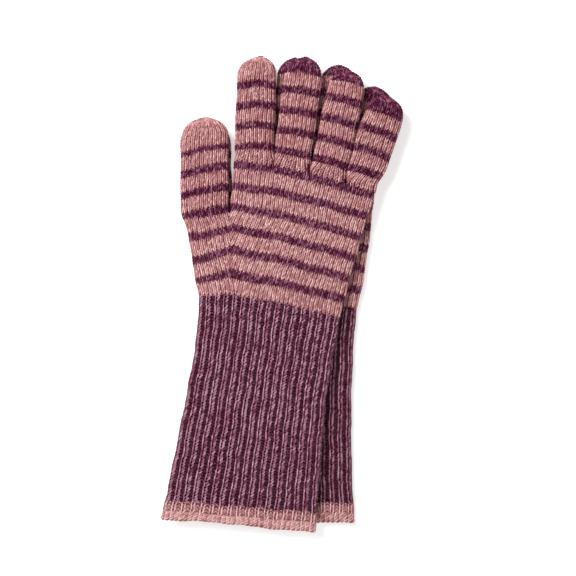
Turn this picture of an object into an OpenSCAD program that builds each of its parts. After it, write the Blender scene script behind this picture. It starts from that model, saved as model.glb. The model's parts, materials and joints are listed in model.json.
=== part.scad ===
// A pair of long striped knitted gloves, laid flat, one on the other.
// Each glove is a set of hollow knitted tubes: hem, ribbed cuff, hand, thumb and four fingers.
// +Y points to the fingertips, +Z is up, and the lower glove rests on Z = 0.

/* [Fabric] */
// Thickness of one layer of knitting
wall = 1.9; // [1.6:0.1:2.1]
// Thickness of one glove lying flat, both layers and the slack between them
flat_t = 8.4; // [8.2:0.1:9.4]
// Room left between neighbouring solids
gap = 0.4; // [0.3:0.1:0.6]

/* [Cuff] */
// Length of the ribbed cuff, without its hem
cuff_l = 134; // [90:1:160]
// Length of the hem band
hem_l = 10.5; // [8:0.5:14]
// Flat width where the cuff meets the hand
wrist_w = 95; // [88:1:100]
// Flat width at the cuff's waist
waist_w = 93; // [86:1:98]
// Flat width at the open edge
mouth_w = 102; // [94:1:110]

/* [Hand] */
// Length from the wrist to the crotch of the index and middle fingers
hand_l = 96; // [90:1:105]
// Flat width of the palm under the four fingers
palm_w = 97; // [94:1:100]

/* [Thumb] */
// Length from root to tip
thumb_l = 71; // [60:1:80]
// Flat width
thumb_w = 32; // [28:1:34]
// Distance of the thumb's root from the wrist
thumb_y = 48; // [44:1:54]

/* [Fingers] */
// Length of the index finger
index_l = 69; // [60:1:76]
// Length of the middle finger
middle_l = 70; // [64:1:80]
// Length of the ring finger
ring_l = 67; // [60:1:76]
// Length of the little finger
little_l = 59; // [54:1:70]
// How much a finger widens from its root to its middle
belly = 0.6; // [0:0.1:1.6]

/* [Pair] */
// Turn of the lower glove under the upper one
lower_turn = 6.3; // [4:0.1:8]
// Sideways offset of the lower glove
lower_x = 8; // [4:0.5:12]
// Lengthwise offset of the lower glove
lower_y = 2; // [0:0.5:6]
// How much narrower the lower thumb is, pressed in beside its palm
lower_thumb_less = 2.5; // [2:0.1:4]

/* [Hidden] */

plum = [0.34, 0.15, 0.22];
pink = [0.68, 0.40, 0.42];

// Steps round a folded side edge, and round a fingertip
edge_steps = 8;
tip_steps = 10;

// The origin sits under the middle of the pair, and these move the upper glove's wrist there
pair_x = -0.4;
pair_y = -9.8;

// Fingers, from the thumb's side
INDEX = 0;
MIDDLE = 1;
RING = 2;
LITTLE = 3;
lengths = [index_l, middle_l, ring_l, little_l];

// The knuckle line, from the index finger's outer corner by the three crotches to the little finger's:
// how far each point is across the palm's width, and how far it drops below the hand's length
knuckle_share = [0, 0.278, 0.531, 0.78, 1];
knuckle_drop = [2.5, 0, 1, 3, 5.5];

// Lean of thumb, index, middle, ring and little finger, clockwise from the glove's own axis
upper_lean = [-8.3, -6, -2.8, 3.8, 10.5];
lower_lean = [-4.5, 0.5, 1.2, 4.5, 8.5];

// The palm's left edge under the index finger, and the middle of the thumb's root beside it
palm_left = -37.5;
thumb_x = -50;

// How much narrower the palm is at 0.6 of its length than at the knuckles, on its right side,
// and how far the thumb's base bulges past the wrist, halfway up to the thumb's root
side_less = 4.5;
base_bulge = 8.5;

// The cuff's end is this much narrower than the hem's open edge
hem_flare = 1.5;

// A finger's rounded tip takes this share of its width, and it is widest at this share of its length
tip_share = 0.42;
widest_share = 0.4;

function knuckle(k) = [palm_left + palm_w * knuckle_share[k], hand_l - knuckle_drop[k]];

// A finger's root lies between two points of the knuckle line
function root(i) = (knuckle(i) + knuckle(i + 1)) / 2;
function root_w(i) = norm(knuckle(i + 1) - knuckle(i));
function root_angle(i) = let (v = knuckle(i + 1) - knuckle(i)) atan2(v[1], v[0]);

// Unit vectors along a tube that leans clockwise by a, and across it
function along(a) = [sin(a), cos(a)];
function across(a) = [cos(a), -sin(a)];

// An outline point is [x, y, a]: a is the direction in which the rounded side edge draws it in.
// A point with no a is on an open end and stays.
function drawn_in(p, d) = is_undef(p[2]) ? [p[0], p[1]] : [p[0] + d * cos(p[2]), p[1] + d * sin(p[2])];

// A closed solid whose side edges are rounded over its whole thickness: the outline's rings, stacked.
// Each flat cap is a fan from the outline's first point, which has to see all the others.
module soft_solid(outline, z0, r, inset) {
    n = len(outline);
    rings = [for (k = [0:edge_steps])
        let (a = -90 + 180 * k / edge_steps)
        for (p = outline)
            let (q = drawn_in(p, inset + r * (1 - cos(a))))
            [q[0], q[1], z0 + r * (1 + sin(a))]];
    bottom = [[for (i = [0:n - 1]) (n - i) % n]];
    top = [[for (i = [0:n - 1]) edge_steps * n + i]];
    sides = [for (k = [0:edge_steps - 1]) for (i = [0:n - 1])
        let (j = (i + 1) % n, low = k * n, high = low + n)
        for (f = [[low + i, low + j, high + j], [low + i, high + j, high + i]]) f];
    polyhedron(rings, concat(bottom, sides, top), convexity = 6);
}

// A hollow flat tube: the outer outline less the same shape one wall further in, run out at its mouths
module knit_tube(outer, inner) {
    difference() {
        soft_solid(outer, 0, flat_t / 2, 0);
        soft_solid(inner, wall, flat_t / 2 - wall, wall);
    }
}

// Band across the glove between two heights, y0 above y1, open at both ends. Widths at top, waist, bottom.
function band_outline(y0, y1, w0, wm, w1, run) = [
    [-w0 / 2, y0 + run, 0],
    [w0 / 2, y0 + run, 180],
    [wm / 2, (y0 + y1) / 2, 180],
    [w1 / 2, y1 - run, 180],
    [-w1 / 2, y1 - run, 0],
    [-wm / 2, (y0 + y1) / 2, 0]
];

// Round-ended finger with the middle of its root at the origin, and the root's line slanted by s.
// run carries the cavity out of the root.
function finger_outline(w, l, s, run) =
    let (b = w + belly, tip_l = tip_share * w, root_dy = w / 2 * tan(s))
    concat(
        [[-w / 2, -root_dy - run, s], [-b / 2, widest_share * l, 0]],
        [for (k = [0:tip_steps])
            let (a = 180 - 180 * k / tip_steps)
            [w / 2 * cos(a), l - tip_l + tip_l * sin(a), a + 180]],
        [[b / 2, widest_share * l, 180], [w / 2, root_dy - run, s + 180]]);

// The hand, clockwise from the bulge of its right side, from which every other corner is in sight.
// The thumb's mouth is on its left side and the fingers' mouths lie along its top.
// run carries the cavity out of every mouth.
function hand_outline(lean, run) =
    let (t = lean[0],
         thumb_c = [thumb_x, thumb_y] + (run - gap) * along(t),
         thumb_out = thumb_c - thumb_w / 2 * across(t),
         thumb_in = thumb_c + thumb_w / 2 * across(t),
         top = [for (k = [0:4]) knuckle(k) + [0, run - gap]])
    [
        [palm_left + palm_w - side_less, 0.6 * hand_l, 180],
        [wrist_w / 2, -run, 180],
        [-wrist_w / 2, -run, 0],
        [-wrist_w / 2 - base_bulge, 0.5 * thumb_y, 0],
        [thumb_out[0], thumb_out[1], -t],
        [thumb_in[0], thumb_in[1], -t],
        [top[0][0], top[0][1], 0],
        top[1],
        top[2],
        top[3],
        [top[4][0], top[4][1], 180]
    ];

// One glove's tubes, with its wrist line on the X axis
module cuff() {
    knit_tube(band_outline(-gap, -cuff_l, wrist_w, waist_w, mouth_w - hem_flare, 0),
              band_outline(-gap, -cuff_l, wrist_w, waist_w, mouth_w - hem_flare, 1));
}

module hem() {
    top = -cuff_l - gap;
    knit_tube(band_outline(top, top - hem_l, mouth_w - hem_flare, mouth_w - hem_flare / 3, mouth_w, 0),
              band_outline(top, top - hem_l, mouth_w - hem_flare, mouth_w - hem_flare / 3, mouth_w, 1));
}

module hand(lean) {
    knit_tube(hand_outline(lean, 0), hand_outline(lean, 1 + gap));
}

module tapered_finger(w, l, s) {
    knit_tube(finger_outline(w, l, s, 0), finger_outline(w, l, s, 1));
}

module thumb(lean, less) {
    translate([thumb_x, thumb_y]) rotate(-lean[0]) tapered_finger(thumb_w - 2 * gap - less, thumb_l, 0);
}

module finger(i, lean) {
    a = lean[i + 1];
    translate(root(i)) rotate(-a) tapered_finger(root_w(i) - 2 * gap, lengths[i], root_angle(i) + a);
}

// Places of the two gloves in the pair
module upper_place() {
    translate([pair_x, pair_y, flat_t + gap]) children();
}

module lower_place() {
    translate([pair_x + lower_x, pair_y + lower_y, 0]) rotate(lower_turn) children();
}

module lower_hem() { color(pink) lower_place() hem(); }
module lower_cuff() { color(plum) lower_place() cuff(); }
module lower_hand() { color(pink) lower_place() hand(lower_lean); }
module lower_thumb() { color(pink) lower_place() thumb(lower_lean, lower_thumb_less); }
module lower_index() { color(pink) lower_place() finger(INDEX, lower_lean); }
module lower_middle() { color(plum) lower_place() finger(MIDDLE, lower_lean); }
module lower_ring() { color(pink) lower_place() finger(RING, lower_lean); }
module lower_little() { color(plum) lower_place() finger(LITTLE, lower_lean); }
module upper_hem() { color(pink) upper_place() hem(); }
module upper_cuff() { color(plum) upper_place() cuff(); }
module upper_hand() { color(pink) upper_place() hand(upper_lean); }
module upper_thumb() { color(pink) upper_place() thumb(upper_lean, 0); }
module upper_index() { color(pink) upper_place() finger(INDEX, upper_lean); }
module upper_middle() { color(plum) upper_place() finger(MIDDLE, upper_lean); }
module upper_ring() { color(pink) upper_place() finger(RING, upper_lean); }
module upper_little() { color(plum) upper_place() finger(LITTLE, upper_lean); }

lower_hem();
lower_cuff();
lower_hand();
lower_thumb();
lower_index();
lower_middle();
lower_ring();
lower_little();
upper_hem();
upper_cuff();
upper_hand();
upper_thumb();
upper_index();
upper_middle();
upper_ring();
upper_little();
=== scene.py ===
"""A pair of long striped knitted gloves, laid flat one on the other and knitted stitch by stitch.

Each glove is a set of tubes: hem, ribbed cuff, hand with thumb base, thumb and four fingers.
A tube is first a smooth surface with two coordinates, the wale (a column of stitches) and the course (a row).
Then every course is laid on it as one looped yarn, over a thin ground of fabric.
Glove coordinates are in mm: the wrist's middle is the origin, +Y runs to the fingers and the thumb is at -X.
The joints, the fingers' lengths and the gloves' thickness come from the CAD frame.
"""
import json
import math

import bpy
import numpy as np
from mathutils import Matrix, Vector


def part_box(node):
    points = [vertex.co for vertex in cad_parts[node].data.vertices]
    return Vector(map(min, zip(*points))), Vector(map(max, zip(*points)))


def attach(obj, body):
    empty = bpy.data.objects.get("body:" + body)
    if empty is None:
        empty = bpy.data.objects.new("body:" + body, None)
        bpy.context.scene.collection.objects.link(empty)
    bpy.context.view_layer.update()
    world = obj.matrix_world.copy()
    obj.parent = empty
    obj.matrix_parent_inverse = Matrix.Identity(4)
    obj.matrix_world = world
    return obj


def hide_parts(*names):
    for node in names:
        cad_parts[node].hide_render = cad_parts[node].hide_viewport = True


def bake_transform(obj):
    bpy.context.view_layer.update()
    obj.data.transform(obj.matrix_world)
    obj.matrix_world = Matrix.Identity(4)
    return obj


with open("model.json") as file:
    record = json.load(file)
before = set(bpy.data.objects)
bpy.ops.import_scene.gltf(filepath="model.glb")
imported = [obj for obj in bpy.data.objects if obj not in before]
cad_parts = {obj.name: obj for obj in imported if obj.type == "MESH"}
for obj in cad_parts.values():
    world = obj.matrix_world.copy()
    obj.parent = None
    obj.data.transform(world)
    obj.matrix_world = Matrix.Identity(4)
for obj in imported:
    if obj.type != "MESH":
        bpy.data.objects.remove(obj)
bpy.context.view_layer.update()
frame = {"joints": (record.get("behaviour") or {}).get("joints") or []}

MM = 0.001
JOINTS = {j["name"]: j for j in frame["joints"]}
FINGERS = ("index", "middle", "ring", "little")


# ---------------- what the frame says about the gloves

def joint_point(name):
    """A joint's place in the row frame, in mm, seen from above."""
    return np.array(JOINTS[name]["pos_m"][:2]) / MM


def turned(angle, point):
    """point turned anticlockwise by angle, in degrees."""
    c, s = math.cos(math.radians(angle)), math.sin(math.radians(angle))
    return np.array((c * point[0] - s * point[1], s * point[0] + c * point[1]))


def box_mm(node):
    """The low and high corners of a CAD node, in mm."""
    low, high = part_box(node)
    return np.array(low) / MM, np.array(high) / MM


def bearing(vector):
    """A vector's direction in degrees, anticlockwise from +X."""
    return math.degrees(math.atan2(vector[1], vector[0]))


WRIST = joint_point("upper_wrist_fold")
ROOTS = {f: joint_point(f"upper_{f}_curl") - WRIST for f in ("thumb",) + FINGERS}
UPPER_LEAN = {f: -bearing(JOINTS[f"upper_{f}_curl"]["axis"]) for f in ROOTS}
# How far each of the lower glove's fingers leans to the right, in degrees
LOWER_LEAN = {"thumb": -4.5, "index": 0.5, "middle": 1.2, "ring": 5.7, "little": 10.3}
LENGTHS = {
    f: (box_mm(f"upper_{f}")[1][1] - WRIST[1] - ROOTS[f][1]) / math.cos(math.radians(UPPER_LEAN[f]))
    for f in ROOTS
}
HEM_TOP = box_mm("upper_hem")[1][1] - WRIST[1]

# The lower glove's corners are where its fingers splay, and they give its turn and its place
_lower = {f: joint_point(f"lower_{f}_splay") for f in FINGERS}
_first = (_lower["index"] + _lower["middle"]) / 2
_last = (_lower["ring"] + _lower["little"]) / 2
LOWER_TURN = bearing(_last - _first) - bearing(ROOTS["little"] - ROOTS["index"])
LOWER_WRIST = _first - turned(LOWER_TURN, ROOTS["index"])
# The knuckle line's five corners. The third has no joint, and mirrors the ring finger's other corner
KNUCKLES = [turned(-LOWER_TURN, _lower[f] - LOWER_WRIST) for f in FINGERS]
KNUCKLES.insert(2, 2 * ROOTS["ring"] - KNUCKLES[2])
HALF_WRIST = turned(-LOWER_TURN, joint_point("lower_wrist_sway") - LOWER_WRIST)[0]


def smooth(t):
    """A soft step from 0 at t = 0 to 1 at t = 1."""
    t = np.clip(t, 0, 1)
    return t * t * (3 - 2 * t)


def curve(x, points):
    """A smooth line by a few (x, y) points, for any x."""
    px, py = np.array(points, float).T
    slope = np.gradient(py, px)
    x = np.clip(x, px[0], px[-1])
    i = np.clip(np.searchsorted(px, x) - 1, 0, len(px) - 2)
    h = px[i + 1] - px[i]
    t = (x - px[i]) / h
    a = (1 + 2 * t) * (1 - t) ** 2 * py[i] + t * (1 - t) ** 2 * h * slope[i]
    return a + t * t * (3 - 2 * t) * py[i + 1] + t * t * (t - 1) * h * slope[i + 1]


# The slow waves of worn fabric, sideways and lengthways: height in mm, radians a mm along x and y, and phase
WAVES_X = ((0.22, 0.07, 0.21, 0.9), (0.10, -0.13, 0.47, 0.0))
WAVES_Y = ((0.30, 0.19, 0.04, 0.0), (0.18, 0.43, 0.0, 1.7))
SWELL_FROM, SWELL_OVER = -5, 50  # the x from which the right edge's bulge grows, and over how many mm
HEM_RISE_Y, HEM_RISE_OVER = -90, 45  # the same along y for the rise of the hem's corner


def waves(terms, x, y):
    return sum(mm * np.sin(kx * x + ky * y + phase) for mm, kx, ky, phase in terms)


class Place:
    """Where a glove lies in the row frame, and how its fabric is pressed out of its even shape.

    squeeze narrows it towards its right edge, bulge is the mm by which that edge swells at each y,
    and hem_rise lifts the hem's left corner, per mm of width."""

    def __init__(self, name, wrist, turn, lean, squeeze=1.0, bulge=((-200, 0), (200, 0)), hem_rise=0.0):
        self.name, self.wrist, self.turn, self.lean = name, wrist, turn, lean
        self.squeeze, self.bulge, self.hem_rise = squeeze, bulge, hem_rise
        low, high = box_mm(f"{name}_hand")
        self.middle = (low[2] + high[2]) / 2
        self.half_thickness = (high[2] - low[2]) / 2

    def pressed(self, x, y):
        """Where the fabric's point x, y lies once it is pressed."""
        swell = curve(y, self.bulge) * smooth((x - SWELL_FROM) / SWELL_OVER)
        rise = self.hem_rise * (HALF_WRIST - x) * smooth((HEM_RISE_Y - y) / HEM_RISE_OVER)
        squeezed = HALF_WRIST + (x - HALF_WRIST) * self.squeeze
        return squeezed + swell + waves(WAVES_X, x, y), y + rise + waves(WAVES_Y, x, y)

    def points(self, xyz):
        """Glove points in mm as row-frame points in metres."""
        x, y = self.pressed(xyz[:, 0], xyz[:, 1])
        row = turned(self.turn, (x, y)) + self.wrist[:, None]
        return np.stack((row[0], row[1], xyz[:, 2] + self.middle), axis=1) * MM

    def point(self, x, y, z=0.0):
        """One glove point in mm as a row-frame point in metres."""
        return tuple(float(v) for v in self.points(np.array([[x, y, z]]))[0])


UPPER = Place("upper", WRIST, 0.0, UPPER_LEAN)
LOWER_BULGE = ((-160, 2.4), (-110, 1.4), (-80, 1.9), (-60, 2.5), (-30, 2.6), (-14, 2.3), (0, 3.1), (14, 4.7),
               (30, 5.0), (52, 4.5), (68, 3.2), (84, 1.6), (150, 0.3))
LOWER = Place("lower", LOWER_WRIST, LOWER_TURN, LOWER_LEAN, squeeze=0.965, hem_rise=0.04, bulge=LOWER_BULGE)


# ---------------- the knitting's own measures

YARN_R = 0.47  # radius of the yarn
LOOP_DEPTH = 0.46  # how far a loop's legs stand before its head
LEFT_PROUD = 0.12  # how far the left leg stands before the right one
SPARE_HEIGHT = 0.05
PROUD = YARN_R + LOOP_DEPTH + LEFT_PROUD + SPARE_HEIGHT  # how far the yarn stands before its surface
FRONT_WALES = 34.0  # wales across one face of the palm, the cuff and the hem
COURSE = 1.805  # height of one course on the hand
FIRST_COURSE_Y = 4.9  # where the hand's first course begins at the middle of the palm
CUFF_COURSES = 70
HAND_COURSES = 48  # courses from the wrist to the knuckle line
THUMB_START = 26  # the course at which the thumb's own piece begins
STRIPE = 8  # courses in one repeat of the stripes
PINK_COURSES = 5
HEM_RIBS = 3  # ribbed courses of the pink hem
HEM_WELT = 3  # dense courses of its cast-on edge


def is_plum(course):
    """Whether the hand's stripes are plum at this course."""
    return course % STRIPE >= PINK_COURSES


# ---------------- surfaces

RING_STEPS = 161  # points of a half ring
CORNER_STEPS = 10  # points of its rounded edges, before they are spaced evenly
FLAT_STEPS = 26  # and of the flat between them
HALF_THICK = UPPER.half_thickness - PROUD


def half_ring(left, right, thick, round_left, round_right, rise):
    """x, z and the length of a flat tube's upper half section, left to right. rise lifts its middle."""
    k = np.linspace(0, math.pi / 2, CORNER_STEPS)
    mid = np.linspace(left + round_left, right - round_right, FLAT_STEPS)[1:-1]
    left_x = left + round_left * (1 - np.cos(k))
    left_z = thick - round_left * (1 - np.sin(k))
    right_x = right - round_right * (1 - np.sin(k))
    right_z = thick - round_right * (1 - np.cos(k))
    x = np.concatenate(([left], left_x, mid, right_x, [right]))
    z = np.concatenate(([0], left_z, mid * 0 + thick, right_z, [0]))
    across = (x - (left + right) / 2) / ((right - left) / 2)
    z = z + rise * (1 - across ** 2) * z / thick
    length = np.concatenate(([0], np.cumsum(np.hypot(np.diff(x), np.diff(z)))))
    even = np.linspace(0, length[-1], RING_STEPS)
    return np.interp(even, length, x), np.interp(even, length, z), length[-1]


class Tube:
    """A knitted tube's middle surface.

    section(c) gives the upper half ring at course c as x, y, z arrays from the left edge to the right, and
    half(c) the wales in it. Wales are counted from the anchor edge, and front ones are negative where that is
    the right edge. walls(c) gives how many wales at each edge face a neighbouring tube, and phase is the part
    of a wale by which the columns are shifted, to meet those of the tube below."""

    STEP = 4  # grid lines a wale and a course
    SPARE = 3  # wales of grid beyond the ring, where it repeats

    def __init__(self, first, last, section, half, anchor="right", walls=None, phase=0.0):
        self.half, self.anchor, self.phase = half, anchor, phase
        self.walls = walls or (lambda c: (0.0, 0.0))
        courses = np.arange((first - 1) * self.STEP, (last + 1) * self.STEP + 1) / self.STEP
        self.c0 = courses[0]
        reach = max(half(c) for c in courses) + self.SPARE
        nodes = np.arange(int(-reach * self.STEP), int(reach * self.STEP) + 1) / self.STEP
        self.u0 = nodes[0]
        self.grid = np.array([self.row(section(c), half(c), nodes) for c in courses])
        across = np.gradient(self.grid, axis=1)
        along = np.gradient(self.grid, axis=0)
        out = np.cross(across, along)
        self.out = out / np.maximum(np.linalg.norm(out, axis=2, keepdims=True), 1e-9)

    def row(self, ring, n, nodes):
        """Points of one grid line, round both faces of the tube. The face that lies down isn't crowned."""
        u = (nodes + n) % (2 * n) - n
        share = np.abs(u) / n
        if self.anchor == "right":
            share, front = 1 - share, u <= 0
        else:
            front = u >= 0
        at = np.linspace(0, 1, RING_STEPS)
        x, y, z = (np.interp(share, at, v) for v in ring)
        return np.stack((x, y, np.where(front, z, -np.minimum(z, HALF_THICK))), axis=1)

    def at(self, u, c, h):
        """Points at wale u and course c, h outside the middle surface, and the outward direction there."""
        i = np.clip((c - self.c0) * self.STEP, 0, self.grid.shape[0] - 1.001)
        j = np.clip((u - self.phase - self.u0) * self.STEP, 0, self.grid.shape[1] - 1.001)
        i0, j0 = i.astype(int), j.astype(int)
        a, b = (i - i0)[:, None], (j - j0)[:, None]

        def mix(field):
            low = field[i0, j0] * (1 - b) + field[i0, j0 + 1] * b
            high = field[i0 + 1, j0] * (1 - b) + field[i0 + 1, j0 + 1] * b
            return low * (1 - a) + high * a

        out = mix(self.out)
        out /= np.maximum(np.linalg.norm(out, axis=1, keepdims=True), 1e-9)
        return mix(self.grid) + out * h[:, None], out


def bow(x):
    """How far a course drops below its height at the middle of the palm."""
    return -5.5 * ((x + 20) / 70) ** 2 * (x > -20)


def crown(c, x):
    """How far course c rises towards the thumb's base and over the middle of the palm."""
    by_thumb = 2.2 * np.exp(-((x + 31) / 13) ** 2) * smooth(c / 12) * (1 - 0.5 * smooth((c - 26) / 10))
    by_middle = 1.3 * np.exp(-((x + 5) / 24) ** 2) * smooth(c / 14)
    return by_thumb + by_middle


FALL_X = -30  # the x beyond which the courses fall towards the thumb
WRIST_FALL = 0.19  # how steeply they fall at the wrist


def height(c, x, slope):
    """The y of course c at x, where the courses fall by slope beyond the thumb's seam."""
    return course_y(c) + bow(x) + crown(c, x) - slope * np.maximum(0, FALL_X - x)


def hand_height(c, x):
    """The y of course c on the thumb's base, where the fall grows steeper and then eases."""
    return height(c, x, WRIST_FALL + 0.16 * smooth(c / 10) * (1 - 0.75 * smooth((c - 10) / 14)))


def palm_height(c, x):
    """The y of course c on the palm, where the fall dies out by course 28."""
    return height(c, x, WRIST_FALL * (1 - smooth((c - 14) / 14)))


def right_side(y):
    """The little finger's side of the hand, from the wrist to the knuckle line."""
    return HALF_WRIST + (KNUCKLES[4][0] - HALF_WRIST) * (np.maximum(y, 0) / KNUCKLES[4][1]) ** 1.3


def left_side(y):
    """The thumb's side of the hand, from the wrist to the thumb's root."""
    return curve(y, [(-4, -48.1), (0, -48.2), (10, -50.8), (25, -55.0), (48, -62.4), (60, -66.8)])


def seam(y):
    """The line where the palm's wales meet those of the thumb's base, and above the thumb the palm's edge."""
    return curve(y, [(0, -22), (20, -28.2), (40, -32.6), (60, -35.4), (94, KNUCKLES[0][0])])


def course_y(c):
    """The y of course c at the middle of the palm."""
    return FIRST_COURSE_Y + COURSE * c


FLAT_EDGE = 0.8  # radius of an edge where two tubes are still one fabric, in mm
OPENING_FROM, OPENING_OVER = 25, 8  # the courses over which palm and thumb base open into two tubes
PARTING_FROM, PARTING_OVER = 24, 8  # and over which they draw back from the seam
HAND_RISE = 0.3  # how much higher the middle of the hand stands than its edges, in mm
HAND_WALE, FINGER_WALE = 2.8, 2.9  # width of a wale round an edge, in mm
WRIST_WALE = 2.86  # width of the palm's wales at the wrist
PALM_FULL = 31  # the course from which the palm has all its wales
BASE_WALES = 10.4  # wales across the thumb's base at the wrist
BASE_WIDENING = 1.6  # and those it gains up to the thumb


def opening_round(c):
    """Radius of the edge at the seam, which grows as palm and thumb base part."""
    return FLAT_EDGE + (HALF_THICK - FLAT_EDGE) * smooth((c - OPENING_FROM) / OPENING_OVER)


def parting(c):
    """How far each of the two tubes has drawn back from the seam."""
    return PROUD * smooth((c - PARTING_FROM) / PARTING_OVER)


def seam_wall(c):
    """How many wales at the seam face the other tube."""
    return (HALF_THICK - opening_round(c)) / HAND_WALE


def palm_right(y):
    """The palm's right edge. Its courses lie 5 mm lower there than at the middle."""
    return right_side(y - 5) - PROUD


def palm_section(c):
    y = course_y(c)
    left = seam(y) + parting(c)
    x, z, _ = half_ring(left, palm_right(y), HALF_THICK, opening_round(c), HALF_THICK, HAND_RISE)
    return x, palm_height(c, x), z


def palm_half(c):
    """Wales across the palm: its width divided by that of a wale, until all of them are there."""
    if c >= PALM_FULL:
        return FRONT_WALES
    c = max(c, 0)
    y, full_y = course_y(c), course_y(PALM_FULL)
    length = half_ring(seam(y), palm_right(y), HALF_THICK, opening_round(c), HALF_THICK, HAND_RISE)[2]
    full = half_ring(seam(full_y), palm_right(full_y), HALF_THICK, HALF_THICK, HALF_THICK, HAND_RISE)[2]
    pitch = WRIST_WALE + (full / FRONT_WALES - WRIST_WALE) * smooth(c / PALM_FULL)
    return min(FRONT_WALES, length / pitch)


def base_ends(c):
    """The thumb base's left and right edges. Its courses lie 3 mm lower on the left than at the seam."""
    y = course_y(c)
    return left_side(y - 3) + PROUD, seam(y) - parting(c)


def base_section(c):
    left, right = base_ends(c)
    x, z, _ = half_ring(left, right, HALF_THICK, HALF_THICK, opening_round(c), HAND_RISE)
    return x, hand_height(c, x), z


def base_half(c):
    return BASE_WALES + BASE_WIDENING * smooth(c / THUMB_START)


TIP_ROUND = 0.87  # exponent of a fingertip's outline: 1 is an ellipse, less is squarer
TIP_STOP = 0.6  # how far before the very tip the last course ends, in mm along the outline
TIP_GATHER = 1.3  # how fast the loops beyond it are drawn together
TIP_PUSH = 0.3  # and how far forwards, for each mm beyond it
TIP_FULLER = 0.5  # mm by which the middle of the tip is pushed out
TIP_THIN = 0.6  # exponent by which the tip thins with its width
FINGER_RISE = 0.5  # how much higher a finger's middle stands than its edges
STRAIGHT_STEPS = 30  # points of a finger's outline before the tip
TIP_STEPS = 40  # and round it
ROOT_OVER = 14  # mm over which a finger's section goes over from its root line to its own
SHAPED_OVER = 10  # and over which its courses' tilt and arch grow
OPEN_OVER = 8  # and over which it opens from its neighbours into a full tube
CLOSING = 9  # mm before the tip within which its wales are decreased


class Finger:
    """The shape of a finger or thumb tube from its root line to its rounded tip.

    tip is the rounded part's length, first its first course, and corners tells whether it has a neighbour at
    its left and at its right. half_wales is the wales of its half ring. A course is course mm high, tilted in
    degrees and arched in mm. belly widens it, longer lengthens it and skew moves its tip to the right."""

    def __init__(self, name, lean, half_width, tip, first, corners, half_wales=9.0, course=1.75, tilt=0.0,
                 arch=1.0, belly=0.0, longer=0.0, skew=0.0):
        self.first, self.half_wales, self.corners = first, half_wales, corners
        self.tilt, self.arch, self.skew = math.tan(math.radians(tilt)), arch, skew
        a = math.radians(lean)
        self.along = np.array((math.sin(a), math.cos(a)))
        self.across = np.array((math.cos(a), -math.sin(a)))
        self.root, self.offset = self.start(name)
        length = LENGTHS[name] + longer - PROUD - self.offset
        straight = np.linspace(0, length - tip, STRAIGHT_STEPS)[:-1]
        width = half_width - PROUD + belly * np.sin(np.pi * np.clip(straight / length, 0, 1) * 0.9)
        phi = np.linspace(0, math.pi / 2, TIP_STEPS)
        d = np.concatenate((straight, length - tip + tip * np.sin(phi) ** TIP_ROUND))
        w = np.concatenate((width, width[-1] * np.cos(phi) ** TIP_ROUND))
        run = np.concatenate(([0], np.cumsum(np.hypot(np.diff(d), np.diff(w)))))
        self.run, self.d, self.w, self.wide = run, d, w, width[-1]
        self.courses = int(round(run[-1] / course))
        self.pitch = run[-1] / self.courses
        self.last = first + self.courses

    def section(self, c):
        run_of_c = (c - self.first) * self.pitch
        run = np.clip(run_of_c, -2, self.run[-1] - TIP_STOP)
        d, w = np.interp(run, self.run, self.d), np.interp(run, self.run, self.w)
        # The last loops are drawn together, and a little forwards, to close the tip
        past_tip = max(0.0, run_of_c - (self.run[-1] - TIP_STOP))
        w = w / (1 + TIP_GATHER * past_tip)
        if run < 0:
            d = run
        full = min(1.0, w / self.wide)
        d = d + TIP_FULLER * (1 - full) ** 6 + TIP_PUSH * min(past_tip, 2.0)
        thick = HALF_THICK * full ** TIP_THIN
        inner = FLAT_EDGE + (thick - FLAT_EDGE) * smooth(run / OPEN_OVER)
        radii = [min(inner if corner else thick, w, thick) for corner in self.corners]
        x, z, _ = half_ring(-w, w, thick, *radii, FINGER_RISE * full)
        lift = (-self.arch * (x / self.wide) ** 2 - self.tilt * x) * full ** 3 * smooth(run / SHAPED_OVER)
        sideways = x + self.skew * (1 - full)
        own = self.root + np.outer(sideways, self.across) + np.outer(d + self.offset + lift, self.along)
        base = self.base(x / w, run)
        t = smooth(run / ROOT_OVER)
        mixed = base * (1 - t) + own * t
        return mixed[:, 0], mixed[:, 1], z

    def half(self, c):
        run = (c - self.first) * self.pitch
        w = np.interp(run, self.run, self.w)
        if run > self.run[-1] - CLOSING:
            return max(2.0, round(2 * self.half_wales * min(1, 0.12 + w / self.wide)) / 2)
        return self.root_wales + (self.half_wales - self.root_wales) * float(smooth(run / ROOT_OVER))

    def walls(self, c):
        run = (c - self.first) * self.pitch
        gap = HALF_THICK * (1 - smooth(run / OPEN_OVER)) / FINGER_WALE
        return gap * self.corners[0], gap * self.corners[1]

    def tube(self):
        return Tube(self.first, self.last, self.section, self.half, walls=self.walls, phase=self.phase)


def palm_wale(x):
    """The wale of the hand's last course at x, counted from its right edge."""
    ring_x = palm_section(HAND_COURSES)[0]
    share = np.interp(x, ring_x, np.linspace(0, 1, RING_STEPS))
    return float((1 - share) * palm_half(HAND_COURSES))


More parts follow.
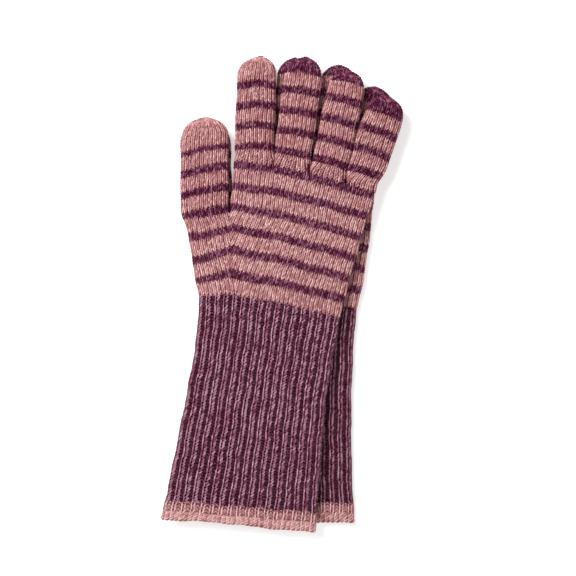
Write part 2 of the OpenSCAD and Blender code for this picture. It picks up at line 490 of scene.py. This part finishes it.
class PalmFinger(Finger):
    """A finger that grows out of the hand's last course between two points of the knuckle line.

    less is how much narrower than its root each side is, and shift moves it sideways, in mm."""

    TIP = 12.0

    def __init__(self, name, lean, less=0.0, shift=0.0, **shape):
        i = FINGERS.index(name)
        self.ends = KNUCKLES[i][0], KNUCKLES[i + 1][0]
        self.shift = shift
        self.root_wales = palm_wale(self.ends[0]) - palm_wale(self.ends[1])
        self.phase = palm_wale(self.ends[1]) % 1.0
        half_width = (self.ends[1] - self.ends[0]) / 2 - less
        super().__init__(name, lean, half_width, self.TIP, HAND_COURSES, (i > 0, i < 3), **shape)

    def start(self, name):
        """The finger's root, and how far beyond it the first course lies."""
        root = ROOTS[name] + np.array((self.shift, 0.0))
        return root, float(palm_height(HAND_COURSES, root[0]) - root[1])

    def base(self, share, run):
        """The hand's courses carried on beyond its last one, at share -1 to 1 of the finger's width."""
        left = self.ends[0] + (0 if self.corners[0] else PROUD)
        right = self.ends[1] - (0 if self.corners[1] else PROUD)
        x = left + (right - left) * (share + 1) / 2
        return np.stack((x, palm_height(HAND_COURSES + run / COURSE, x)), axis=1)


class Thumb(Finger):
    """The thumb, which grows out of the last course of its base."""

    TIP = 14.5
    RIGHT_EDGE = 15.8  # where its right edge lies from the joint's place, in mm
    START = 0.8  # how far beyond the joint its first course lies

    def __init__(self, lean, half_width, **shape):
        self.root_wales, self.phase = BASE_WALES + BASE_WIDENING, 0.0
        self.shift = self.RIGHT_EDGE - half_width
        super().__init__("thumb", lean, half_width, self.TIP, THUMB_START, (False, True), **shape)

    def start(self, name):
        return ROOTS[name] + np.array((self.shift, 0.0)), self.START

    def base(self, share, run):
        c = THUMB_START + run / COURSE
        left, right = base_ends(c)
        x = left + (right - left) * (share + 1) / 2
        return np.stack((x, hand_height(c, x)), axis=1)


# The edges of the cuff and the hem, as (share of the cuff's length, x)
CUFF_LEFT = ((0, -48.2), (0.22, -46.4), (0.5, -47.6), (0.75, -49.6), (1.0, -51.9), (1.1, -52.9))
CUFF_RIGHT = ((0, 47.5), (0.4, 45.8), (0.72, 48.0), (1.0, 50.3), (1.1, 51.0))
HEM_LEFT = ((0.9, -50.9), (1.0, -51.9), (1.1, -52.7))
HEM_RIGHT = ((0.9, 49.4), (1.0, 50.3), (1.1, 51.0))
CUFF_RISE = 0.2  # how much higher the middle stands than the edges
HEM_RIB_COURSE = 2.0  # height of a course in the hem's rib
WELT_COURSE = 1.95  # and in its cast-on edge
HEM_HOLLOW = 1.2  # how far the cast-on edge is drawn in where it is deepest
HEM_GAP = 0.6  # mm from the CAD hem's top to the cuff's last course
HEM_SLANT = 0.058  # how much that course rises per mm to the right


def cuff_end(x):
    """The slanting line where the cuff ends and the hem begins."""
    return HEM_TOP + HEM_GAP + HEM_SLANT * x


def cuff_section(c):
    share = np.clip(-c / CUFF_COURSES, 0, 1.2)
    left = curve(share, CUFF_LEFT) + PROUD
    right = curve(share, CUFF_RIGHT) - PROUD
    x, z, _ = half_ring(left, right, HALF_THICK, HALF_THICK, HALF_THICK, CUFF_RISE)
    top = hand_height(0, x)
    return x, top + (cuff_end(x) - top) * share, z


def hem_section(c):
    """Hem courses are counted down from the cuff's end."""
    done = -c
    share = 1 + 0.1 * done / (HEM_RIBS + HEM_WELT)
    left = curve(share, HEM_LEFT) + PROUD
    right = curve(share, HEM_RIGHT) - PROUD
    x, z, _ = half_ring(left, right, HALF_THICK, HALF_THICK, HALF_THICK, CUFF_RISE)
    ribs = min(done, HEM_RIBS)
    welt = max(done - HEM_RIBS, 0)
    hollow = HEM_HOLLOW * np.exp(-((x + 15) / 24) ** 2) * welt / HEM_WELT
    y = cuff_end(x) - ribs * HEM_RIB_COURSE - welt * WELT_COURSE + hollow
    return x, y, z


# ---------------- yarn

class Stitch:
    """How a course's loops are shaped.

    In wales: lean is how far a loop's legs lean over its neighbours, gather how far they are drawn together,
    slant how far a loop shifts to the right in a course's height, and wander how far a column strays.
    tall is half a loop's height, in courses. In mm: depth is how far the legs stand out, left_leg how much
    further the left one does, recess how far a rib's purl columns lie back, and radius the yarn's.
    uneven makes the left leg lean less and the right one more, knit_share is the knit column's part of a
    rib's two wales, edge paints shade on the yarn's sides, and shade is painted light that lightens its
    colour, or painted shade below 0."""

    def __init__(self, lean=0.24, uneven=0.45, gather=0.035, tall=0.95, depth=LOOP_DEPTH, left_leg=LEFT_PROUD,
                 radius=YARN_R, edge=0.10, rib=False, recess=0.0, knit_share=0.5, slant=0.0, wander=0.05,
                 shade=0.0):
        self.lean, self.uneven, self.gather, self.tall = lean, uneven, gather, tall
        self.depth, self.left_leg, self.radius = depth, left_leg, radius
        self.edge, self.shade = edge, shade
        self.rib, self.recess, self.knit_share = rib, recess, knit_share
        self.slant, self.wander = slant, wander


PLAIN = Stitch()
# The plain stitch with painted shade, a little darker, for the fingers and the thumb
SHADED_PLAIN = Stitch(shade=-0.5)
RIBBED = Stitch(rib=True, lean=0.20, uneven=0.60, gather=0.0, tall=0.82, recess=0.80, knit_share=0.72,
                depth=0.42, left_leg=0.04, radius=0.45, edge=0.55, wander=0.06)
# The hem's rib and welt have shade 1.0: painted light, lighter than the hand's pink
HEM_RIB = Stitch(rib=True, lean=0.20, uneven=0.35, gather=0.0, tall=0.88, recess=0.35, knit_share=0.66,
                 depth=0.40, left_leg=0.02, radius=0.52, edge=0.35, wander=0.06, shade=1.0)
WELT = Stitch(lean=0.30, uneven=0.1, gather=0.06, tall=0.70, depth=0.42, left_leg=0.04, radius=0.54,
              edge=0.30, slant=0.45, wander=0.1, shade=1.0)


def add_object(name, data):
    """A new object in the scene."""
    obj = bpy.data.objects.new(name, data)
    bpy.context.scene.collection.objects.link(obj)
    return obj


class Mesh:
    """Gathers the yarns and ground strips of one piece."""

    def __init__(self):
        self.points, self.faces, self.uvs, self.strands, self.deeps, self.tones_and_painted_light = [], [], [], [], [], []
        self.count = 0

    def add(self, points, faces, uv, strand, deep, tone):
        """points n x 3, faces m x 4, uv and strand m x 4 x 2, deep and tone n."""
        self.points.append(points)
        self.faces.append(faces + self.count)
        self.uvs.append(uv)
        self.strands.append(strand)
        self.deeps.append(deep)
        self.tones_and_painted_light.append(tone)
        self.count += len(points)

    def build(self, name, place, material):
        """The gathered quads as one object, with UV maps for baking and along the strand."""
        points = place.points(np.concatenate(self.points)).astype(np.float32)
        faces = np.concatenate(self.faces).astype(np.int32)
        mesh = bpy.data.meshes.new(name)
        mesh.vertices.add(len(points))
        mesh.vertices.foreach_set("co", points.ravel())
        mesh.loops.add(faces.size)
        mesh.loops.foreach_set("vertex_index", faces.ravel())
        mesh.polygons.add(len(faces))
        mesh.polygons.foreach_set("loop_start", np.arange(0, faces.size, 4, dtype=np.int32))
        mesh.polygons.foreach_set("loop_total", np.full(len(faces), 4, np.int32))
        mesh.polygons.foreach_set("use_smooth", np.ones(len(faces), bool))
        for layer, parts in (("OFBake", self.uvs), ("Strand", self.strands)):
            data = np.concatenate(parts).astype(np.float32).ravel()
            mesh.uv_layers.new(name=layer).data.foreach_set("uv", data)
        for attribute, parts in (("deep", self.deeps), ("tone", self.tones_and_painted_light)):
            data = np.concatenate(parts).astype(np.float32)
            mesh.attributes.new(attribute, "FLOAT", "POINT").data.foreach_set("value", data)
        mesh.materials.append(material)
        mesh.update()
        return add_object(name, mesh)


def rib_wale(u, wale, knit_share):
    """Widens the knit wales of a rib and narrows the purl ones."""
    odd = wale % 2
    start = wale - odd + odd * 2 * knit_share
    width = np.where(odd == 0, 2 * knit_share, 2 - 2 * knit_share)
    return start + (u - wale) * width


def wander(column, c):
    """How far a column of stitches strays to the side along its length, from -1 to 1."""
    return 0.6 * np.sin(0.13 * c + 0.9 * column) + 0.4 * np.sin(0.31 * c + 2.3 * column)


# Painted shade: the yarn's colour darkens with the depth below a loop's crest, in mm
PAINTED_SHADE_FROM = 0.25
PAINTED_SHADE_OVER = 0.95
# One standard deviation of how loops differ, in wales, in courses, in mm and as a share
JITTER_SIDE = 0.05
JITTER_ALONG = 0.14
JITTER_OUT = 0.05
JITTER_RADIUS = 0.04
YARN_END = 0.04  # radius of the yarn's two ends, in mm


def looped(course, span, stitch, samples, rng):
    """The line of one course's yarn: wale, course, height and radius at each of its points, and its random
    shift in colour with the stitch's painted light or shade added.
    """
    first, last = span
    count = max(4, int(round((last - first) * samples)) + 1)
    turn = np.linspace(first, last, count)
    wale = np.floor(turn + 1e-9)
    t = 2 * math.pi * turn
    bump = np.sin(t / 2) ** 2
    jitter = rng.normal(size=(5, int(wale[-1] - wale[0]) + 2))
    cell = (wale - wale[0]).astype(int)
    shift, rise, stand = (jitter[k][cell] * bump for k in range(3))
    lean = stitch.lean * (1 - stitch.uneven * np.sin(t))
    u = turn + lean * np.sin(2 * t) + stitch.gather * np.sin(t) + JITTER_SIDE * shift
    c = course + 0.5 - stitch.tall * np.cos(t) + JITTER_ALONG * rise
    u = u + stitch.slant * (c - course - 0.5)
    h = -stitch.depth * np.cos(2 * t) + stitch.left_leg * np.sin(t) + JITTER_OUT * np.clip(stand, -2, 1)
    if stitch.rib:
        # 1 in the knit columns, which stand out, and -1 in the purl ones, whose loops are turned over
        knit_side = np.clip(1.6 * np.sin(t / 2), -1, 1)
        h = h * knit_side - stitch.recess * (1 - knit_side) / 2
        u = rib_wale(u, wale, stitch.knit_share)
    u = u + stitch.wander * wander(wale // 2 if stitch.rib else wale, c)
    radius = stitch.radius * (1 + JITTER_RADIUS * np.clip(shift, -2, 1))
    radius[0] = radius[-1] = YARN_END
    # A loop's random tone, plus its stitch's shade: painted light above 0, painted shade below it
    tone = np.where(np.sin(t) > 0, jitter[3][cell], jitter[4][cell]) + stitch.shade
    return u, c, h, radius, tone


def swept(path, out, radius, angle):
    """Points and faces of a yarn along path, whose angle 0 looks outwards."""
    run = np.gradient(path, axis=0)
    run /= np.maximum(np.linalg.norm(run, axis=1, keepdims=True), 1e-9)
    side = np.cross(run, out)
    side /= np.maximum(np.linalg.norm(side, axis=1, keepdims=True), 1e-9)
    up = np.cross(side, run)
    ring = (np.cos(angle)[None, :, None] * up[:, None] + np.sin(angle)[None, :, None] * side[:, None])
    points = (path[:, None] + ring * radius[:, None, None]).reshape(-1, 3)
    sides = len(angle)
    i = np.arange(len(path) - 1)[:, None] * sides
    j = np.arange(sides)[None, :]
    k = (j + 1) % sides
    return points, np.stack((i + j, i + k, i + sides + k, i + sides + j), axis=2).reshape(-1, 4)


def lay_yarn(mesh, tube, course, span, stitch, samples, sides, rng, uv_row):
    """Lays one course's yarn from wale span[0] to wale span[1].

    samples is points along a stitch, sides points round the yarn, and uv_row its place in the baking map."""
    u, c, h, radius, tone = looped(course, span, stitch, samples, rng)
    path, out = tube.at(u, c, h)
    angle = 2 * math.pi * np.arange(sides) / sides
    points, faces = swept(path, out, radius, angle)
    count = len(path)
    length = np.concatenate(([0], np.cumsum(np.linalg.norm(np.diff(path, axis=0), axis=1))))
    low, high, v0, v1 = uv_row
    across = low + (high - low) * np.linspace(0, 1, count)
    uv = strip_uv(across, v0 + (v1 - v0) * np.arange(sides + 1) / sides, count, sides)
    strand = strip_uv(length, np.arange(sides + 1) * (2 * math.pi * stitch.radius / sides), count, sides)
    # Painted shade: the colour darkens with the depth below the loop's crest and towards the yarn's sides
    crest = stitch.depth + stitch.left_leg + stitch.radius
    stands = h[:, None] + np.cos(angle)[None, :] * radius[:, None]
    side_shade = stitch.edge * (1 - np.cos(angle))[None, :]
    deep = smooth((crest - stands - PAINTED_SHADE_FROM) / PAINTED_SHADE_OVER + side_shade)
    mesh.add(points, faces, uv, strand, deep.ravel(), np.repeat(tone, sides))


def strip_uv(along, around, count, sides):
    """UV corners of a strip of quads, in the order of its faces."""
    a, b = along[:-1, None], along[1:, None]
    low, high = around[None, :-1], around[None, 1:]
    shape = (count - 1, sides)
    corners = [(a, low), (a, high), (b, high), (b, low)]
    pairs = [np.stack((np.broadcast_to(x, shape), np.broadcast_to(y, shape)), axis=2) for x, y in corners]
    return np.stack(pairs, axis=2).reshape(-1, 4, 2)


GROUND_DEPTH = 0.75  # of the ground's outer face under a tube's middle surface
GROUND_THICK = 0.65
GROUND_RECESS = 0.8  # the share of a rib's recess by which its ground lies deeper
GROUND_UV = 60  # mm of fabric over the ground's whole UV map, for the material


def quads(grid):
    """The faces of a grid of point numbers."""
    return np.stack((grid[:-1, :-1], grid[:-1, 1:], grid[1:, 1:], grid[1:, :-1]), axis=2).reshape(-1, 4)


def rim(a, b):
    """The faces between two lines of point numbers."""
    return np.stack((a[:-1], b[:-1], b[1:], a[1:]), axis=1)


def lay_ground(mesh, tube, start, end, span, uv_row, recess):
    """A closed strip of fabric under the loops of courses start to end, over one span of wales."""
    first, last = span
    outer = -GROUND_DEPTH - GROUND_RECESS * recess
    columns = max(2, int(math.ceil(last - first)) + 1)
    rows = max(2, int(round(end - start)) + 1)
    u, c = np.meshgrid(np.linspace(first, last, columns), np.linspace(start, end, rows))
    sheets = [tube.at(u.ravel(), c.ravel(), np.full(u.size, h))[0] for h in (outer, outer - GROUND_THICK)]
    index = np.arange(rows * columns).reshape(rows, columns)
    inner = index + rows * columns
    faces = np.concatenate((quads(index), quads(inner)[:, ::-1],
                            rim(index[0], inner[0]), rim(inner[-1], index[-1]),
                            rim(inner[:, 0], index[:, 0]), rim(index[:, -1], inner[:, -1])))
    low, high, v0, v1 = uv_row
    flat_u = low + (high - low) * (u.ravel() - first) / (last - first)
    flat_v = v0 + (v1 - v0) * 0.5 * (c.ravel() - start) / (end - start)
    outer_uv = np.stack((flat_u, flat_v), axis=1)
    inner_uv = np.stack((flat_u, flat_v + (v1 - v0) * 0.5), axis=1)
    uv = np.concatenate((outer_uv, inner_uv))[faces]
    points = np.concatenate(sheets)
    # The ground is painted wholly in the painted shade colour
    mesh.add(points, faces, uv, uv * GROUND_UV, np.ones(len(points)), np.zeros(len(points)))


# Samples a stitch and sides of the yarn
FRONT = (8, 6)  # on the upper glove's face in view
RIB_FRONT = (12, 6)  # on its cuff, whose finer shapes show
LOWER_FRONT = (8, 5)  # on the lower glove, of which only a strip is in view
BACK = (6, 4)  # on the faces that lie down

# A piece's UV map for baking: courses one above the other, front and back side by side, and then the ground
YARN_PART = 0.88  # the yarns' part of the map's height
ROW_FILL = 0.94  # the part of a row's height that is used
FRONT_U = (0.0, 0.6)
BACK_U = (0.61, 1.0)
LEAST_WALL = 0.05  # fewer wales facing a neighbour count as none
SEED_SHIFT = 500  # seeds can't be negative, and the cuff's courses are


def spans_of(tube, course, wrap=1.0):
    """The front and back spans of wales of a course.

    They leave out the wales that face a neighbouring tube. Where there is none, the front span goes on round
    the edge by wrap wales, and the back one begins there."""
    n = tube.half(course + 0.5)
    left, right = tube.walls(course + 0.5)
    front_left, back_left = (left, left) if left > LEAST_WALL else (-wrap, wrap)
    front_right, back_right = (right, right) if right > LEAST_WALL else (-wrap, wrap)
    if tube.anchor == "right":
        return (front_left - n, -front_right), (back_right, n - back_left)
    return (front_left, n - front_right), (back_right - n, -back_left)


def row_of(low, high, r, rows):
    """The v range of row r out of rows between low and high."""
    return low + (high - low) * r / rows, low + (high - low) * (r + ROW_FILL) / rows


def knit(mesh, tube, courses, stitch_of, seed, front, back, v_range=(0, 1), faces="both", ground=True):
    """Adds courses of one tube to mesh. front and back are samples a stitch and sides of the yarn."""
    v0, v1 = v_range
    split = v0 + (v1 - v0) * YARN_PART
    for r, course in enumerate(courses):
        spans = spans_of(tube, course)
        v = row_of(v0, split, r, len(courses))
        rng = np.random.default_rng([seed, course + SEED_SHIFT])
        if faces in ("both", "front"):
            lay_yarn(mesh, tube, course, spans[0], stitch_of(course), *front, rng, (*FRONT_U, *v))
        if faces in ("both", "back"):
            lay_yarn(mesh, tube, course, spans[1], stitch_of(course), *back, rng, (*BACK_U, *v))
    if ground:
        runs = course_runs(courses)
        for r, (start, end) in enumerate(runs):
            v = row_of(split, v1, r, len(runs))
            top, low = spans_of(tube, (start + end) / 2 - 0.5, wrap=0.0)
            recess = stitch_of(start).recess
            lay_ground(mesh, tube, start, end, top, (0.0, 0.5, *v), recess)
            lay_ground(mesh, tube, start, end, low, (0.5, 1.0, *v), recess)


def course_runs(courses):
    """(first, one past the last) of every unbroken run of courses."""
    runs = []
    for c in sorted(courses):
        if runs and runs[-1][1] == c:
            runs[-1][1] = c + 1
        else:
            runs.append([c, c + 1])
    return runs


# ---------------- materials

def set_inputs(node, values):
    for key, value in values.items():
        node.inputs[key].default_value = value


def node_of(tree, kind, inputs=None, **values):
    """A new node with the given properties and input values."""
    node = tree.nodes.new(kind)
    for key, value in values.items():
        setattr(node, key, value)
    set_inputs(node, inputs or {})
    return node


TONE_SPREAD = 0.07  # how far a loop's own tone, painted light or shade included, moves it along the colour ramp


def yarn_material(name, painted_shade_colour, dark, mid, light, marl, sheen):
    """Soft marled yarn: flecks through it and along the strand, painted shade in its furrows and on its
    sides, and the twist of its plies.

    painted_shade_colour is its colour where the painted shade is full, marl is the part of the flecks that
    run along the strand, and every loop's colour shifts at random, and by painted light or shade where its
    stitch has a shade."""
    material = bpy.data.materials.new(name)
    material.use_nodes = True
    tree = material.node_tree
    link = tree.links.new
    shader = tree.nodes["Principled BSDF"]
    set_inputs(shader, {"Roughness": 0.86, "Specular IOR Level": 0.06, "Sheen Weight": sheen,
                        "Sheen Roughness": 0.45, "Sheen Tint": (*light, 1)})

    strand = node_of(tree, "ShaderNodeUVMap", uv_map="Strand")
    stretch = node_of(tree, "ShaderNodeMapping", {"Scale": (0.30, 1.1, 1)})
    link(strand.outputs["UV"], stretch.inputs["Vector"])
    place = node_of(tree, "ShaderNodeTexCoord")
    fleck_inputs = {"Scale": 420, "Detail": 4, "Roughness": 0.62}
    fleck = node_of(tree, "ShaderNodeTexNoise", fleck_inputs, noise_dimensions="3D")
    link(place.outputs["Object"], fleck.inputs["Vector"])
    ply = node_of(tree, "ShaderNodeTexNoise", {"Scale": 1.0, "Detail": 3}, noise_dimensions="2D")
    link(stretch.outputs["Vector"], ply.inputs["Vector"])
    both = node_of(tree, "ShaderNodeMix", {"Factor": marl}, data_type="FLOAT")
    link(fleck.outputs["Fac"], both.inputs["A"])
    link(ply.outputs["Fac"], both.inputs["B"])
    ramp = node_of(tree, "ShaderNodeValToRGB")
    ramp.color_ramp.elements[0].position = 0.37
    ramp.color_ramp.elements[0].color = (*dark, 1)
    ramp.color_ramp.elements[1].position = 0.63
    ramp.color_ramp.elements[1].color = (*light, 1)
    middle = ramp.color_ramp.elements.new(0.5)
    middle.color = (*mid, 1)
    tone = node_of(tree, "ShaderNodeAttribute", attribute_name="tone")
    toned = node_of(tree, "ShaderNodeMath", {1: TONE_SPREAD}, operation="MULTIPLY_ADD")
    link(tone.outputs["Fac"], toned.inputs[0])
    link(both.outputs["Result"], toned.inputs[2])
    link(toned.outputs["Value"], ramp.inputs["Fac"])

    deep = node_of(tree, "ShaderNodeAttribute", attribute_name="deep")
    shade = node_of(tree, "ShaderNodeMix", data_type="RGBA", blend_type="MIX")
    shade.inputs["B"].default_value = (*painted_shade_colour, 1)
    link(deep.outputs["Fac"], shade.inputs["Factor"])
    link(ramp.outputs["Color"], shade.inputs["A"])
    link(shade.outputs["Result"], shader.inputs["Base Color"])

    twist_inputs = {"Scale": 0.42, "Distortion": 1.2, "Detail": 2}
    twist = node_of(tree, "ShaderNodeTexWave", twist_inputs, wave_type="BANDS", bands_direction="DIAGONAL")
    link(strand.outputs["UV"], twist.inputs["Vector"])
    bump = node_of(tree, "ShaderNodeBump", {"Strength": 0.35, "Distance": 0.00025})
    link(twist.outputs["Fac"], bump.inputs["Height"])
    link(bump.outputs["Normal"], shader.inputs["Normal"])
    return material


GAMMA = 2.2


def srgb(*rgb):
    """A colour given as it looks on a screen, 0 to 255, as a linear one."""
    return tuple((v / 255) ** GAMMA for v in rgb)


PINK = yarn_material(
    "pink_yarn", painted_shade_colour=srgb(132, 68, 76), dark=srgb(176, 116, 120), mid=srgb(214, 158, 157),
    light=srgb(250, 204, 200), marl=0.5, sheen=0.02)
PLUM = yarn_material(
    "plum_yarn", painted_shade_colour=srgb(62, 14, 38), dark=srgb(78, 24, 50), mid=srgb(122, 62, 88),
    light=srgb(180, 122, 144), marl=0.5, sheen=0.0)
# The same plum yarn in the cuff, with painted highlights lighter on the ribs and painted shade darker between
# them
LIT_SHADED_RIB_PLUM = yarn_material(
    "rib_plum_yarn", painted_shade_colour=srgb(50, 4, 24), dark=srgb(134, 68, 94), mid=srgb(188, 124, 148),
    light=srgb(232, 174, 197), marl=0.5, sheen=0.0)


# ---------------- the gloves

# The wrist's bend would lie on the cuff's side of the hinge, as on the hand's side the fabric would dip; no
# piece is bent there
WRIST_BLEND = (1.0, -25.0)  # y of its start and its end
FINGER_BLEND = 20.0  # mm over which a finger's root would bend; it is not bent
THUMB_BLEND_AT = 4.0  # how far beyond its root the thumb would begin to bend; it is not bent
HAND_PART = 0.7  # the palm's part of the hand's UV map, and the thumb base has the rest


def colour_of(plum):
    """The name and material of a stripe's yarn."""
    return ("plum", PLUM) if plum else ("pink", PINK)


def wrist_blend(obj, place):
    place.point(0, WRIST_BLEND[0])
    place.point(0, WRIST_BLEND[1])
    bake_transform(obj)


def make_hand(place, seed, front, back):
    """The palm and the thumb's base, as one piece for each colour."""
    palm = Tube(0, HAND_COURSES, palm_section, palm_half, walls=lambda c: (seam_wall(c), 0.0))
    base = Tube(0, THUMB_START, base_section, base_half, "left", walls=lambda c: (0.0, seam_wall(c)))
    for plum in (False, True):
        colour, material = colour_of(plum)
        mesh = Mesh()
        courses = [c for c in range(HAND_COURSES) if is_plum(c) == plum]
        base_courses = [c for c in courses if c < THUMB_START]
        knit(mesh, palm, courses, lambda c: PLAIN, seed, front, back, (0, HAND_PART))
        knit(mesh, base, base_courses, lambda c: PLAIN, seed + 1, front, back, (HAND_PART, 1))
        piece = mesh.build(f"{place.name}_hand_{colour}", place, material)
        wrist_blend(piece, place)
        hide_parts(f"{place.name}_hand")


def make_finger(place, name, finger, seed, front, back, start_at=0.0):
    """A finger or the thumb, as one piece for each colour."""
    tube = finger.tube()
    for plum in (False, True):
        courses = [c for c in range(finger.first, finger.last) if finger_is_plum(name, c) == plum]
        colour, material = colour_of(plum)
        mesh = Mesh()
        knit(mesh, tube, courses, lambda c: SHADED_PLAIN, seed, front, back)
        piece = mesh.build(f"{place.name}_{name}_{colour}", place, material)
        start = finger.root + finger.along * start_at
        end = finger.root + finger.along * (start_at + FINGER_BLEND)
        place.point(*start)
        place.point(*end)
        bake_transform(piece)
        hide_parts(f"{place.name}_{name}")


def make_cuff(place, seed, front, back):
    """The cuff in three pieces: the face in view in two halves, and the face that lies down."""
    tube = Tube(-CUFF_COURSES, 0, cuff_section, lambda c: FRONT_WALES)
    half = CUFF_COURSES // 2
    parts = (("front_high", range(-half, 0), "front", False),
             ("front_low", range(-CUFF_COURSES, -half), "front", False),
             ("back", range(-CUFF_COURSES, 0), "back", True))
    for part, courses, face, ground in parts:
        mesh = Mesh()
        knit(mesh, tube, courses, lambda c: RIBBED, seed, front, back, faces=face, ground=ground)
        piece = mesh.build(f"{place.name}_cuff_{part}", place, LIT_SHADED_RIB_PLUM)
        wrist_blend(piece, place)
        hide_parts(f"{place.name}_cuff")


def make_hem(place, seed, front, back):
    total = HEM_RIBS + HEM_WELT
    tube = Tube(-total, 0, hem_section, lambda c: FRONT_WALES)
    mesh = Mesh()
    knit(mesh, tube, range(-total, 0), lambda c: HEM_RIB if c >= -HEM_RIBS else WELT, seed, front, back)
    piece = mesh.build(f"{place.name}_hem_band", place, PINK)
    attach(piece, f"{place.name}_cuff")
    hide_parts(f"{place.name}_hem")


# Wales in a finger's half ring, the height, tilt and arch of its courses, and its outline
FINGER_SHAPES = {
    "index": dict(half_wales=10.5, course=1.72, tilt=-1.5, arch=1.8, shift=-0.4, skew=2.0, longer=-0.5),
    "middle": dict(half_wales=10.0, course=1.70, tilt=2.5, less=0.1, shift=-1.1, belly=0.8, longer=1.4),
    "ring": dict(half_wales=10.0, course=1.76, tilt=3.0, belly=0.6, longer=1.3),
    "little": dict(half_wales=9.5, course=1.76, arch=0.8, less=-0.4, belly=2.5, longer=-1.0, skew=-0.8),
}
THUMB_SHAPE = dict(half_wales=12.0, tilt=-11.0, arch=1.5)
# Where the gloves differ: the upper middle finger's lean, the thumbs, and the lower fingers' lengths
LEAN_CHANGE = {"upper": {"middle": 2.7}, "lower": {}}
THUMB_WIDTH = {"upper": dict(half_width=16.45, belly=-0.2), "lower": dict(half_width=14.4, belly=-2.2)}
LOWER_LONGER = {"ring": 1.2, "little": -1.8}
# The course from which a tip is one colour, and whether that is plum
TIPS = {"thumb": (55, False), "index": (82, False), "middle": (85, True), "ring": (85, True),
        "little": (77, True)}


def finger_is_plum(name, course):
    """Whether a finger or the thumb is plum at this course."""
    start, tip_plum = TIPS[name]
    return tip_plum if course >= start else is_plum(course)


def make_glove(place, seed, front, cuff_front, back):
    """All of one glove. Each sub-part has seeds of its own."""
    make_hem(place, seed, front, back)
    make_cuff(place, seed + 10, cuff_front, back)
    make_hand(place, seed + 20, front, back)
    thumb = Thumb(place.lean["thumb"], **THUMB_WIDTH[place.name], **THUMB_SHAPE)
    make_finger(place, "thumb", thumb, seed + 30, front, back, start_at=THUMB_BLEND_AT)
    for i, name in enumerate(FINGERS):
        shape = dict(FINGER_SHAPES[name])
        if place is LOWER:
            shape["longer"] = LOWER_LONGER.get(name, 0.0)
        lean = place.lean[name] + LEAN_CHANGE[place.name].get(name, 0.0)
        finger = PalmFinger(name, lean, **shape)
        make_finger(place, name, finger, seed + 40 + 10 * i, front, back)


make_glove(UPPER, 1000, FRONT, RIB_FRONT, BACK)
make_glove(LOWER, 2000, LOWER_FRONT, LOWER_FRONT, BACK)


# ---------------- floor, light and camera

def make_floor():
    """A pale floor that glows a little, so it is nearly white around the shadow."""
    half = 3.0
    corners = [(-half, -half, 0), (half, -half, 0), (half, half, 0), (-half, half, 0)]
    mesh = bpy.data.meshes.new("floor")
    mesh.from_pydata(corners, [], [(0, 1, 2, 3)])
    floor = add_object("floor", mesh)
    material = bpy.data.materials.new("pale_floor")
    material.use_nodes = True
    shader = material.node_tree.nodes["Principled BSDF"]
    set_inputs(shader, {"Base Color": (0.92, 0.92, 0.915, 1), "Roughness": 0.9,
                        "Emission Color": (1, 1, 1, 1), "Emission Strength": 0.45})
    mesh.materials.append(material)


def make_light(name, location, size, power):
    """A square light that faces the gloves, with its side in metres and its power in watts."""
    data = bpy.data.lights.new(name, "AREA")
    data.shape = "SQUARE"
    data.size = size
    data.energy = power
    light = add_object(name, data)
    light.location = location
    light.rotation_euler = Vector(-np.array(location)).to_track_quat("-Z", "Y").to_euler()


def make_world():
    world = bpy.data.worlds.new("studio")
    world.use_nodes = True
    set_inputs(world.node_tree.nodes["Background"], {"Color": (1, 1, 1, 1), "Strength": 0.24})
    bpy.context.scene.world = world


VIEW_WIDTH = 0.3816  # metres across the picture at the height VIEW_PLANE
VIEW_PLANE = 0.013
VIEW_CENTRE = (9.9, 14.1)  # mm from the wrist
VIEW_ROLL = 8  # degrees


def make_camera():
    """Straight above the pair, rolled so that the gloves lean as they lie."""
    data = bpy.data.cameras.new("camera")
    data.lens = 85
    data.sensor_width = 36
    distance = VIEW_WIDTH * data.lens / data.sensor_width
    camera = add_object("camera", data)
    middle = (WRIST + np.array(VIEW_CENTRE)) * MM
    camera.location = (*middle, VIEW_PLANE + distance)
    camera.rotation_euler = (0, 0, math.radians(VIEW_ROLL))
    bpy.context.scene.camera = camera


make_floor()
make_world()
make_light("key", (-0.6, 0.40, 0.95), size=0.5, power=14.5)
make_light("fill", (0.2, -0.75, 0.8), size=0.8, power=4)
make_camera()
bpy.context.scene.view_settings.view_transform = "Standard"
